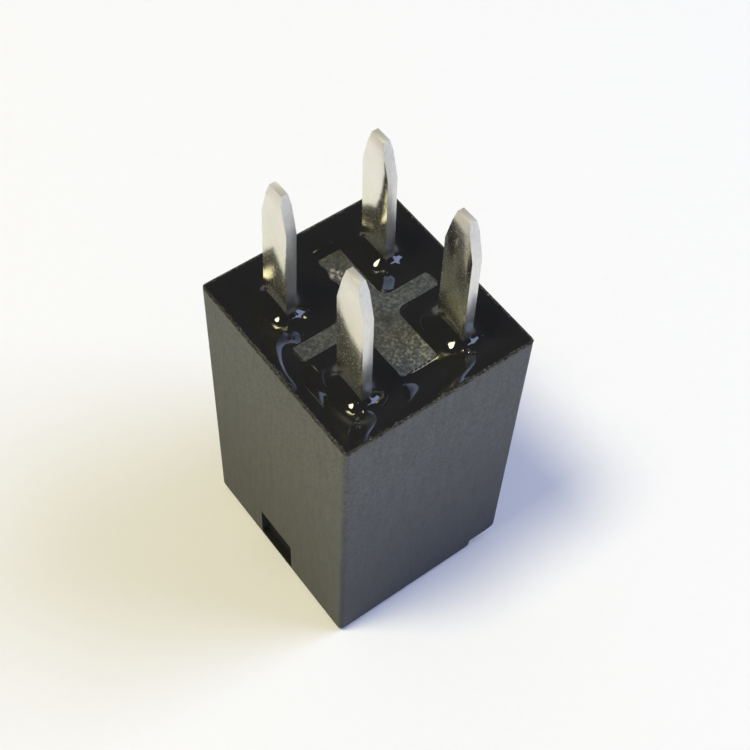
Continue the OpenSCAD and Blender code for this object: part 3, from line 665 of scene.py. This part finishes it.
def base_finish(look):
    """Dark filled plastic with speckles, painted glints, a pale scuff and a stain."""
    settings = bpy.context.scene.relay_base
    x, y, _ = look.axes()
    speckle = look.grain(settings.speckle / MM, 3.0, 0.7)
    crystals = look.step(look.cells(0.17), 0.45, 0.15)
    broad = look.grain(1.4, 3.0, 0.55)
    glint = look.step(look.grain(0.22, 2.0, 0.6), 0.56, 0.66)
    sharp = look.step(speckle, 0.38, 0.62)
    toward_front = look.step(-y, 1.2, 5.2)
    tone = (0.20 + sharp + broad * 0.6 + crystals * 0.25) * (1.0 + toward_front * 0.6)
    base = look.shade(tuple(settings.plastic), tone)
    # Painted highlight: pale glints painted into the colour, more of them towards the front.
    base = look.blend(glint * (0.10 + toward_front * 0.55), base, (0.30, 0.31, 0.19))
    # Pale scuff on the long arm and a dark stain beside the middle
    wobble = look.grain(0.6, 3.0, 0.6) * 0.9
    scuff = look.step(abs(x - 0.4) * 0.9 + abs(y - 4.1) + wobble, 1.25, 0.85)
    base = look.blend(scuff * sharp, base, (0.42, 0.39, 0.30))
    stain = look.step(abs(x - 0.95) + abs(y + 1.0) * 0.7 + wobble * 0.6, 0.85, 0.45)
    base = look.blend(stain * 0.8, base, (0.012, 0.012, 0.012))
    return {
        "Base Color": base,
        "Roughness": 0.42 + speckle * 0.25 - glint * 0.15,
        "IOR": 1.5,
        "Normal": look.bump(sharp * 0.5 + crystals * 0.5, 0.06),
    }


def resin_finish(look):
    """Glossy black resin, rough along the cover's rim."""
    settings = bpy.context.scene.relay_resin
    x, y, _ = look.axes()
    edge = (abs(x) - OUT_X).above(abs(y) - OUT_Y)
    rough_line = look.step(edge + look.grain(0.3, 3.0, 0.6) * 0.34, -0.10, 0.06)
    crumbs = look.grain(0.16, 3.0, 0.7)
    haze = look.grain(1.4, 4.0, 0.6)
    base = look.blend(haze, tuple(settings.colour), (0.0085, 0.0085, 0.0075))
    base = look.blend(rough_line * 0.8, base, (0.020, 0.017, 0.013))
    base = look.blend(rough_line * look.step(crumbs, 0.56, 0.64), base, (0.20, 0.18, 0.15))
    swell = look.bump(look.grain(1.6, 2.0, 0.4), 0.005)
    return {
        "Base Color": base,
        "Roughness": 0.03 + haze * 0.03 + rough_line * 0.40,
        "IOR": 1.52,
        "Normal": look.bump(crumbs * rough_line, 0.03, swell),
    }


def blade_finish(look):
    """Tin on brass: cloudy towards the tip, pitted lower down, with drawn lines on the sheared faces."""
    settings = bpy.context.scene.relay_blades
    z = look.axes()[2]
    _, sideways, upwards = look.facing()
    sheared = look.step(abs(sideways), 0.55, 0.8)
    coined = look.step(upwards, 0.04, 0.3)
    up = look.step(z, RIM_Z + 1.0, RIM_Z + 8.5)
    clouds = look.grain(1.1, 4.0, 0.6, look.stretch(1.0, 1.0, 0.5))
    waves = look.grain(1.7, 2.0, 0.5)
    pits = look.step(look.cells(0.30), 0.20, 0.08)
    specks = look.step(look.cells(0.23), 0.22, 0.10)
    fine = look.grain(0.16, 3.0, 0.65)
    shear_lines = look.grain(0.09, 3.0, 0.6, look.stretch(1.6, 1.0, 0.12))
    low = 1.0 - up
    tin = look.shade(tuple(settings.tin), 0.86 + clouds * 0.18 + fine * 0.06)
    tin = look.blend(low * 0.6, tin, (0.84, 0.81, 0.50))
    tin = look.blend(look.step(z, RIM_Z + 9.8, RIM_Z + 11.4) * 0.5, tin, (0.62, 0.58, 0.48))
    tin = look.blend(pits * (0.1 + low * 0.7), tin, (0.30, 0.27, 0.15))
    stain = look.step(look.grain(0.5, 4.0, 0.7), 0.54, 0.70)
    tin = look.blend(stain * low * 0.3, tin, (0.40, 0.36, 0.22))
    edge = look.shade(tuple(settings.edge), 0.72 + shear_lines * 0.5)
    height = fine * 0.3 - pits * low * 0.6
    flat = look.bump(waves, 0.030)
    rough = 0.12 + low * 0.06 + clouds * 0.07 + specks * 0.22
    return {
        "Base Color": look.blend(sheared, tin, edge),
        "Metallic": 1.0 - (0.02 + low * 0.08) * look.step(z, RIM_Z + 1.0, RIM_Z + 2.6),
        "Roughness": rough * (1.0 - sheared) + sheared * 0.32 + coined * 0.4,
        "Normal": look.bump(height * (1.0 - sheared) + shear_lines * sheared * 0.7, 0.008, flat),
    }


def iron_finish(look):
    """Brushed plated iron."""
    brushed = look.grain(0.2, 4.0, 0.6, look.stretch(1.0, 0.15, 1.0))
    spots = look.step(look.grain(0.6, 3.0, 0.6), 0.58, 0.7)
    base = look.blend(brushed, (0.50, 0.51, 0.53), (0.66, 0.67, 0.69))
    return {
        "Base Color": look.blend(spots * 0.3, base, (0.42, 0.41, 0.38)),
        "Metallic": 1.0,
        "Roughness": 0.28 + brushed * 0.14,
        "Normal": look.bump(brushed, 0.006),
    }


def nylon_finish(look):
    """Moulded nylon of the bobbin."""
    mottle = look.grain(0.9, 3.0, 0.5)
    grain = look.grain(0.15, 3.0, 0.6)
    return {
        "Base Color": look.blend(mottle, (0.72, 0.69, 0.60), (0.82, 0.80, 0.72)),
        "Roughness": 0.45 + grain * 0.12,
        "Normal": look.bump(grain, 0.008),
    }


def copper_finish(look):
    """Enamelled copper wire."""
    mottle = look.grain(0.8, 3.0, 0.55)
    fine = look.grain(0.06, 2.0, 0.5)
    copper = tuple(bpy.context.scene.relay_works.copper)
    return {
        "Base Color": look.shade(copper, 0.8 + mottle * 0.4),
        "Metallic": 0.85,
        "Roughness": 0.22 + mottle * 0.12,
        "Normal": look.bump(fine, 0.003),
    }


def tape_finish(look):
    """Woven tape round the coil."""
    weave = look.grain(0.12, 2.0, 0.5, look.stretch(0.3, 0.3, 1.0))
    mottle = look.grain(1.2, 3.0, 0.5)
    return {
        "Base Color": look.blend(mottle, (0.72, 0.45, 0.05), (0.82, 0.58, 0.10)),
        "Roughness": 0.25 + mottle * 0.15,
        "Normal": look.bump(weave, 0.006),
    }


def solder_finish(look):
    """Solder with a fine crystal."""
    crystal = look.grain(0.25, 4.0, 0.6)
    return {
        "Base Color": look.blend(crystal, (0.62, 0.62, 0.61), (0.80, 0.80, 0.78)),
        "Metallic": 1.0,
        "Roughness": 0.16 + crystal * 0.22,
        "Normal": look.bump(crystal, 0.012),
    }


def bronze_finish(look):
    """Rolled spring bronze."""
    rolled = look.grain(0.12, 3.0, 0.6, look.stretch(1.0, 0.1, 0.1))
    cloud = look.grain(1.0, 3.0, 0.5)
    bronze = tuple(bpy.context.scene.relay_works.bronze)
    return {
        "Base Color": look.shade(bronze, 0.78 + rolled * 0.22 + cloud * 0.18),
        "Metallic": 1.0,
        "Roughness": 0.24 + cloud * 0.12,
        "Normal": look.bump(rolled, 0.004),
    }


def silver_finish(look):
    """Silver of the contacts."""
    swirl = look.grain(0.18, 4.0, 0.6)
    return {
        "Base Color": look.blend(swirl, (0.76, 0.75, 0.72), (0.90, 0.90, 0.88)),
        "Metallic": 1.0,
        "Roughness": 0.22 + swirl * 0.18,
        "Normal": look.bump(swirl, 0.006),
    }


def floor_finish(look):
    """White paper that the relay stands on."""
    settings = bpy.context.scene.relay_stage
    x, y, _ = look.axes()
    paper = look.grain(0.8, 4.0, 0.6)
    paint = look.shade(tuple(settings.floor_colour), 0.985 + paper * 0.03)
    # Far from the relay the floor passes into the white of the room
    far = look.step((x * x + y * y).root(), *FLOOR_FADE)
    return {
        "Base Color": look.blend(far, paint, BLACK),
        "Emission Color": look.blend(far, BLACK, BACKDROP),
        "Emission Strength": 1.0,
        "Roughness": 0.9,
        "Specular IOR Level": 0.2,
        "Normal": look.bump(paper, 0.004),
    }


# ---- Operators ---------------------------------------------------------------


class RELAY_OT_stage(bpy.types.Operator):
    """Build the table, the lamp, the window light, the room light and the camera"""
    bl_idname = "relay.stage"
    bl_label = "Stage"

    def execute(self, context):
        scene = context.scene
        settings = scene.relay_stage
        scene.view_settings.view_transform = "Standard"

        shape = bmesh.new()
        bmesh.ops.create_circle(shape, cap_ends=True, segments=96, radius=TABLE_RADIUS)
        table = finish_mesh("table", shape, None)
        dress(table, surface("table_top", floor_finish))

        self.light("lamp", settings.lamp_colour, settings.lamp_power, LAMP_DIRECTION, LAMP_SIZE, "ELLIPSE")
        # Two panes, one over the other, with a bar between them
        tone = settings.window_colour
        pane = settings.window_power / 3.0
        self.light("window_low", tone, 2.0 * pane, LOW_PANE_DIRECTION, LOW_PANE_SIZE, "RECTANGLE")
        self.light("window_high", tone, pane, HIGH_PANE_DIRECTION, HIGH_PANE_SIZE, "RECTANGLE")
        self.room(scene, settings)
        self.camera(scene)
        return {"FINISHED"}

    @staticmethod
    def light(name, tone, power, direction, size, shape):
        """An area light that looks at the relay"""
        data = bpy.data.lights.new(name, "AREA")
        data.shape = shape
        data.size, data.size_y = size
        data.color = tone
        data.energy = power
        lamp = bpy.data.objects.new(name, data)
        bpy.context.scene.collection.objects.link(lamp)
        away = Vector(direction).normalized()
        turn = away.to_track_quat("Z", "Y").to_matrix().to_4x4()
        lamp.matrix_world = Matrix.Translation(Vector(LIGHT_AIM) + away * LIGHT_DISTANCE) @ turn

    @staticmethod
    def camera(scene):
        """The camera, over the front left corner and looking down"""
        data = bpy.data.cameras.new("camera")
        data.sensor_width = 36.0
        data.lens = CAMERA_LENS
        data.clip_start = 0.01
        data.clip_end = 10.0
        eye = bpy.data.objects.new("camera", data)
        scene.collection.objects.link(eye)
        azimuth, elevation, roll = (
            math.radians(angle) for angle in (CAMERA_AZIMUTH, CAMERA_ELEVATION, CAMERA_ROLL)
        )
        forward = Vector((
            math.sin(azimuth) * math.cos(elevation),
            math.cos(azimuth) * math.cos(elevation),
            -math.sin(elevation),
        ))
        level = Vector((math.cos(azimuth), -math.sin(azimuth), 0.0))
        upward = level.cross(forward)
        right = math.cos(roll) * level + math.sin(roll) * upward
        upward = math.cos(roll) * upward - math.sin(roll) * level
        turn = Matrix((right, upward, -forward)).transposed().to_4x4()
        eye.matrix_world = Matrix.Translation(Vector(CAMERA_PLACE) * MM) @ turn
        scene.camera = eye

    @staticmethod
    def room(scene, settings):
        """The even light of the room, with a white backdrop behind what the camera sees"""
        world = bpy.data.worlds.new("room")
        world.use_nodes = True
        scene.world = world
        look = Look(world.node_tree)
        upwards = look.split(look.node("ShaderNodeTexCoord", None, None, "Generated"))[2]
        low = look.step(upwards, 0.40, 0.25)
        rays = {
            name: look.node("ShaderNodeLightPath", None, None, name)
            for name in ("Is Camera Ray", "Is Glossy Ray", "Is Transmission Ray")
        }
        backdrop = rays["Is Camera Ray"].above(rays["Is Glossy Ray"].above(rays["Is Transmission Ray"]) * low)
        tone = look.blend(backdrop, tuple(settings.room_colour), BACKDROP)
        light = look.node("ShaderNodeBackground", None, {"Color": tone, "Strength": 1.0}, "Background")
        look.node("ShaderNodeOutputWorld", None, {"Surface": light})


class RELAY_OT_cover(bpy.types.Operator):
    """Give the cover its moulded grain, its broken rim line, its dull recess, and its painted shade and cool
    tint
    """
    bl_idname = "relay.cover"
    bl_label = "Cover"

    def execute(self, context):
        dress(frame["nodes"]["cover"], surface("cover_plastic", cover_finish))
        return {"FINISHED"}


class RELAY_OT_base(bpy.types.Operator):
    """Give the base and its cross island their speckled grain"""
    bl_idname = "relay.base"
    bl_label = "Base"

    def execute(self, context):
        dress(frame["nodes"]["base"], surface("base_plastic", base_finish))
        return {"FINISHED"}


class RELAY_OT_resin(bpy.types.Operator):
    """Pour the potting resin, with its climbs, bowls, bubbles and rim film"""
    bl_idname = "relay.resin"
    bl_label = "Resin"

    def execute(self, context):
        piece = resin_body(context.scene.relay_resin)
        dress(piece, surface("potting_resin", resin_finish))
        return {"FINISHED"}


class RELAY_OT_blades(bpy.types.Operator):
    """Soften the blades' edges and plate them with tin"""
    bl_idname = "relay.blades"
    bl_label = "Blades"

    def execute(self, context):
        settings = context.scene.relay_blades
        tin = surface("tinned_brass", blade_finish)
        for node in BLADE_NODES:
            shape = merged_copy(node)
            soften(shape, settings.edge_round, 25.0)
            piece = finish_mesh(node + "_plated", shape, "housing", (node,), 30.0)
            dress(piece, tin)
        return {"FINISHED"}


class RELAY_OT_magnet(bpy.types.Operator):
    """Finish the yoke, core, armature and rivets, the bobbin and the coil"""
    bl_idname = "relay.magnet"
    bl_label = "Magnet and coil"

    def execute(self, context):
        iron = surface("plated_iron", iron_finish)
        nylon = surface("bobbin_nylon", nylon_finish)
        copper = surface("enamelled_copper", copper_finish)
        tape = surface("coil_tape", tape_finish)
        solder = surface("solder", solder_finish)
        for node in ("yoke", "core", "armature", "yoke_rivets", "armature_rivets"):
            dress(frame["nodes"][node], iron)
        dress(frame["nodes"]["bobbin"], nylon)
        dress(frame["nodes"]["coil_tape"], tape)
        for node in ("coil_lead_left", "coil_lead_front"):
            dress(frame["nodes"][node], copper)
        for node in ("solder_joint_left", "solder_joint_front"):
            dress(frame["nodes"][node], solder)
        dress(self.turns(context.scene.relay_works), copper)
        return {"FINISHED"}

    @staticmethod
    def turns(settings):
        """The winding, with the ridges of its outer layer"""
        low, high = (Vector(corner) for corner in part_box("coil_winding"))
        middle = (low + high) / 2
        outer = (high.x - low.x) / 2
        pitch = settings.wire
        count = int((high.z - low.z) / pitch)
        pitch = (high.z - low.z) / count
        # The inner side is hidden by the barrel of the bobbin
        inner = outer * 0.55
        parts = 4
        shape = bmesh.new()
        profile = [Vector((middle.x + inner, middle.y, low.z))]
        for turn in range(count):
            for part in range(parts):
                swell = math.sin(math.pi * part / parts)
                ridge = middle.x + outer - pitch * 0.5 * (1.0 - swell)
                profile.append(Vector((ridge, middle.y, low.z + pitch * (turn + part / parts))))
        profile.append(Vector((middle.x + outer - pitch * 0.5, middle.y, high.z)))
        profile.append(Vector((middle.x + inner, middle.y, high.z)))
        verts = [shape.verts.new(point) for point in profile]
        edges = [shape.edges.new(pair) for pair in zip(verts, verts[1:] + verts[:1])]
        bmesh.ops.spin(
            shape, geom=verts + edges, cent=(middle.x, middle.y, 0.0), axis=(0.0, 0.0, 1.0),
            angle=2 * math.pi, steps=64, use_merge=True,
        )
        return finish_mesh("coil_turns", shape, "housing", ("coil_winding",), 40.0)


class RELAY_OT_contacts(bpy.types.Operator):
    """Finish the contacts, the back stop and the contact spring"""
    bl_idname = "relay.contacts"
    bl_label = "Contacts and spring"

    def execute(self, context):
        silver = surface("contact_silver", silver_finish)
        for node in ("moving_contact", "fixed_contact"):
            dress(frame["nodes"][node], silver)
        dress(frame["nodes"]["back_stop"], surface("back_stop_tin", solder_finish))

        shape = bmesh.new()
        shape.from_mesh(frame["nodes"]["contact_spring"].data)
        bmesh.ops.remove_doubles(shape, verts=shape.verts, dist=WELD)
        leaf = finish_mesh("contact_spring_leaf", shape, None, ("contact_spring",), 40.0)
        dress(leaf, surface("spring_bronze", bronze_finish))
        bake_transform(leaf)
        return {"FINISHED"}


class RELAY_PT_panel(bpy.types.Panel):
    """The relay's pieces and their settings"""
    bl_idname = "RELAY_PT_panel"
    bl_label = "Relay"
    bl_space_type = "VIEW_3D"
    bl_region_type = "UI"
    bl_category = "Relay"

    def draw(self, context):
        scene = context.scene
        for operator, settings in PIECES:
            self.layout.operator(operator.bl_idname)
            if settings:
                group = getattr(scene, settings)
                for name in group.__annotations__:
                    self.layout.prop(group, name)


PIECES = (
    (RELAY_OT_stage, "relay_stage"),
    (RELAY_OT_cover, "relay_cover"),
    (RELAY_OT_base, "relay_base"),
    (RELAY_OT_resin, "relay_resin"),
    (RELAY_OT_blades, "relay_blades"),
    (RELAY_OT_magnet, "relay_works"),
    (RELAY_OT_contacts, None),
)
SETTINGS = {
    "relay_stage": StageSettings,
    "relay_cover": CoverSettings,
    "relay_base": BaseSettings,
    "relay_resin": ResinSettings,
    "relay_blades": BladeSettings,
    "relay_works": WorksSettings,
}
CLASSES = (*SETTINGS.values(), *(operator for operator, _ in PIECES), RELAY_PT_panel)


def register():
    for item in CLASSES:
        bpy.utils.register_class(item)
    for name, group in SETTINGS.items():
        setattr(bpy.types.Scene, name, PointerProperty(type=group))


def unregister():
    for name in SETTINGS:
        delattr(bpy.types.Scene, name)
    for item in reversed(CLASSES):
        bpy.utils.unregister_class(item)


def main():
    register()
    bpy.ops.relay.stage()
    bpy.ops.relay.cover()
    bpy.ops.relay.base()
    bpy.ops.relay.resin()
    bpy.ops.relay.blades()
    bpy.ops.relay.magnet()
    bpy.ops.relay.contacts()


if __name__ == "__main__":
    main()
